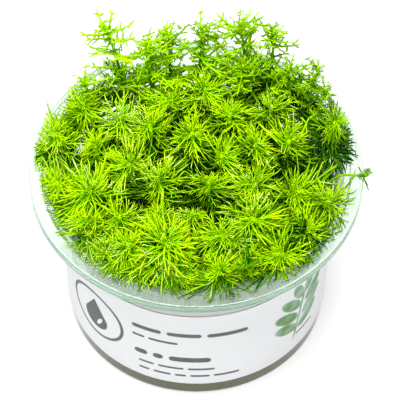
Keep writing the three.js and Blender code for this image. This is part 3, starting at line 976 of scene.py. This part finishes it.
    def grow(self, node, stem, kinds, chance, cup):
        """One shoot's object: its stalk and every leaf, each bent, sized and fitted where it stands."""
        usual, small, slender = kinds
        fresh_and_lit = self.freshness_and_light(stem) + chance.uniform(-0.2, 0.2)
        stalk, stalk_growth_and_shade = self.stalk(stem)
        parts, growth_and_shade = [stalk], [stalk_growth_and_shade]
        way, lean, full_length = self.habit(stem, chance)
        for drop, share, lift, age_and_shade, azimuth in self.leaves(stem, chance):
            centre, direction = stem.at(drop * MM)
            leaning = lean * max(0.0, 1 - max(drop, 0) / self.LEAN_DEPTH)
            direction = direction + leaning * np.array([math.cos(way), math.sin(way), 0])
            for_rim = share >= RIM_SHARE
            pattern = chance.choice(small if share < self.BUD_SHARE else slender if for_rim else usual)
            grown = chance.uniform(0.5 if stem.tall else 0.62, 1.12)
            size = min(full_length * share * (max(grown, 0.95) if for_rim else grown), LONGEST_LEAF)
            reach = 0.75 if stem.tall else 0.35 if stem.large else 0.55
            sideways = chance.uniform(-reach, reach)
            upward = chance.uniform(-0.3, 0.65) if stem.tall else chance.uniform(-reach, reach) - 0.06
            pose = (centre, direction, azimuth, lift, (sideways, upward), chance.uniform(-0.45, 0.45))
            points = self.fitted(pattern, size, pose, stem, self.limit(stem, centre, chance), cup)
            parts.append(Pattern(points, pattern.triangles, pattern.along))
            # Painted light across the cushion, with a random tone for each shoot, moves each leaf towards
            # its young or its old colour
            growth_and_shade.append(self.tone(pattern, share, age_and_shade + 0.36 * (0.6 - fresh_and_lit), age_and_shade < 0.3, chance))
        points, triangles, _ = joined(parts)
        low, high = np.array(CAD_BOX)
        kept = np.clip(points, low + self.BOX_GAP, high - self.BOX_GAP)
        return mesh_object(node, kept, triangles, np.concatenate(growth_and_shade))

    def limit(self, stem, centre, chance):
        """How far from the axis a leaf from this place may reach."""
        round_at = math.degrees(math.atan2(centre[1], centre[0]))
        reach = (np.interp(round_at, REACH_ANGLES, REACH_LIMITS) - abs(chance.gauss(0.0, 0.3))) * MM
        return INSIDE_WALL if centre[2] < FREE_ABOVE and not stem.tall else reach

    def fitted(self, pattern, size, pose, stem, limit, cup):
        """A leaf's points, shorter where it would cross a parting or the limit, and laid in the cup."""
        centre = pose[0]
        points = self.placed(pattern, size, *pose)
        if self.crosses_parting(points):
            size *= 0.5
            points = self.placed(pattern, size, *pose)
        reached = from_axis(points).max()
        start = math.hypot(centre[0], centre[1])
        if reached > limit > start:
            size *= max((limit - start) / (reached - start), 0.4 if stem.old else 0.75)
            points = self.placed(pattern, size, *pose)
        if not stem.old:
            points = pressed_in(points, limit)
        if stem.tall:
            # Little of it stands up beyond the tip
            points[:, 2] -= 0.8 * np.maximum(points[:, 2] - stem.tip[2], 0.0)
        return laid_on_rim(points) if centre[2] > RESTS_ABOVE else kept_in_wall(points, cup)

    def tone(self, pattern, share, age_and_shade, is_young_and_lit, chance):
        """Growth of each point of a leaf: share along it, age with painted shade, and a number of its own.
        """
        tipness = 0.6 if share < self.BUD_SHARE else 0.35 if is_young_and_lit else 0.0
        tone = np.ones((len(pattern.points), 4))
        tone[:, 0] = tipness + (1 - tipness) * pattern.along
        tone[:, 1] = min(1.0, max(0.0, age_and_shade + chance.uniform(-0.08, 0.12)))
        tone[:, 2] = chance.random()
        return tone

    def crosses_parting(self, placed):
        """Whether a leaf's outer half reaches over one of the partings."""
        outer = placed[len(placed) // 2:, :2] / MM
        return any((np.hypot(*(outer - centre).T) < PARTING_RADIUS).mean() > 0.3 for centre in PARTINGS)

    def placed(self, pattern, size, centre, direction, azimuth, lift, bends, twist):
        """A leaf's points, bent along its length, turned round the stem and moved to its whorl."""
        local = pattern.points.copy()
        local[:, 1] += bends[0] * local[:, 0] ** 2
        local[:, 2] += bends[1] * local[:, 0] ** 2
        y, z = local[:, 1].copy(), local[:, 2].copy()
        local[:, 1] = y * math.cos(twist) - z * math.sin(twist)
        local[:, 2] = y * math.sin(twist) + z * math.cos(twist)
        raised = Matrix.Rotation(-lift, 3, "Y")
        turned = Matrix.Rotation(azimuth, 3, "Z")
        leaned = Vector((0, 0, 1)).rotation_difference(Vector(direction)).to_matrix()
        whole = np.array(leaned @ turned @ raised) * size
        return centre + local @ whole.T


# Stage

class MILFOIL_OT_stage(bpy.types.Operator):
    """Set the pale floor, soft studio light and the camera"""
    bl_idname = "milfoil.stage"
    bl_label = "Stage"

    def execute(self, context):
        settings = context.scene.milfoil_stage
        deselect()
        bpy.ops.mesh.primitive_plane_add(size=6, location=(0, 0, 0))
        floor = context.object
        floor.name = "floor"
        floor.data.materials.append(self.paper_white())
        self.softbox("overhead", (-0.06, -0.08, 0.9), 0.6, 12.0)
        self.softbox("front_fill", (-0.2, -0.8, 0.6), 0.6, 1.2)
        world = bpy.data.worlds.new("Soft white room")
        world.use_nodes = True
        background = world.node_tree.nodes["Background"]
        Wiring(world.node_tree).fill(background, {"Color": (1, 1, 1, 1), "Strength": 0.34})
        context.scene.world = world
        context.scene.view_settings.view_transform = "Standard"
        self.camera(context, settings)
        return {"FINISHED"}

    def paper_white(self):
        material, wires, shader = blank_material("Pale floor")
        patch = wires.span(wires.noise(wires.place(), 4.0), 0.3, 0.7)
        wires.fill(shader, {"Base Color": wires.mix(patch, (0.42, 0.42, 0.42, 1), (0.45, 0.45, 0.45, 1)),
                            "Roughness": 0.9, "Specular IOR Level": 0.1,
                            "Emission Color": (1, 1, 1, 1), "Emission Strength": 0.67})
        return material

    def softbox(self, name, place, size, power):
        deselect()
        bpy.ops.object.light_add(type="AREA", location=place)
        lamp = bpy.context.object
        lamp.name = name
        lamp.data.shape = "DISK"
        lamp.data.size = size
        lamp.data.energy = power
        aim = Vector((0, 0, 0.04)) - Vector(place)
        lamp.rotation_euler = aim.to_track_quat("-Z", "Y").to_euler()

    def camera(self, context, settings):
        rise, reach = math.sin(settings.elevation), math.cos(settings.elevation)
        place = Vector((0, -settings.distance * reach, settings.distance * rise))
        target = Vector((0.9 * MM, 18.1 * MM, 12.8 * MM))
        camera = bpy.data.objects.new("camera", bpy.data.cameras.new("camera"))
        camera.data.lens = settings.lens
        camera.data.sensor_width = 36
        context.scene.collection.objects.link(camera)
        camera.location = place
        camera.rotation_euler = (target - place).to_track_quat("-Z", "Y").to_euler()
        context.scene.camera = camera


class MILFOIL_PT_panel(bpy.types.Panel):
    """Lists the settings and the build steps"""
    bl_idname = "MILFOIL_PT_panel"
    bl_label = "Milfoil cup"
    bl_space_type = "VIEW_3D"
    bl_region_type = "UI"
    bl_category = "Milfoil"

    def draw(self, context):
        for name, cls in GROUPS.items():
            box = self.layout.box()
            box.operator(name.replace("_", "."))
            for setting in cls.__annotations__:
                box.prop(getattr(context.scene, name), setting)


GROUPS = {
    "milfoil_cup": CupSettings,
    "milfoil_label": LabelSettings,
    "milfoil_gel": GelSettings,
    "milfoil_shoots": ShootSettings,
    "milfoil_stage": StageSettings,
}
CLASSES = (*GROUPS.values(), MILFOIL_OT_cup, MILFOIL_OT_label, MILFOIL_OT_gel, MILFOIL_OT_shoots,
           MILFOIL_OT_stage, MILFOIL_PT_panel)


def register():
    for cls in CLASSES:
        bpy.utils.register_class(cls)
    for name, cls in GROUPS.items():
        setattr(bpy.types.Scene, name, PointerProperty(type=cls))


def unregister():
    for name in GROUPS:
        delattr(bpy.types.Scene, name)
    for cls in reversed(CLASSES):
        bpy.utils.unregister_class(cls)


def main():
    register()
    bpy.ops.milfoil.cup()
    bpy.ops.milfoil.label()
    bpy.ops.milfoil.gel()
    bpy.ops.milfoil.shoots()
    bpy.ops.milfoil.stage()


if __name__ == "__main__":
    main()
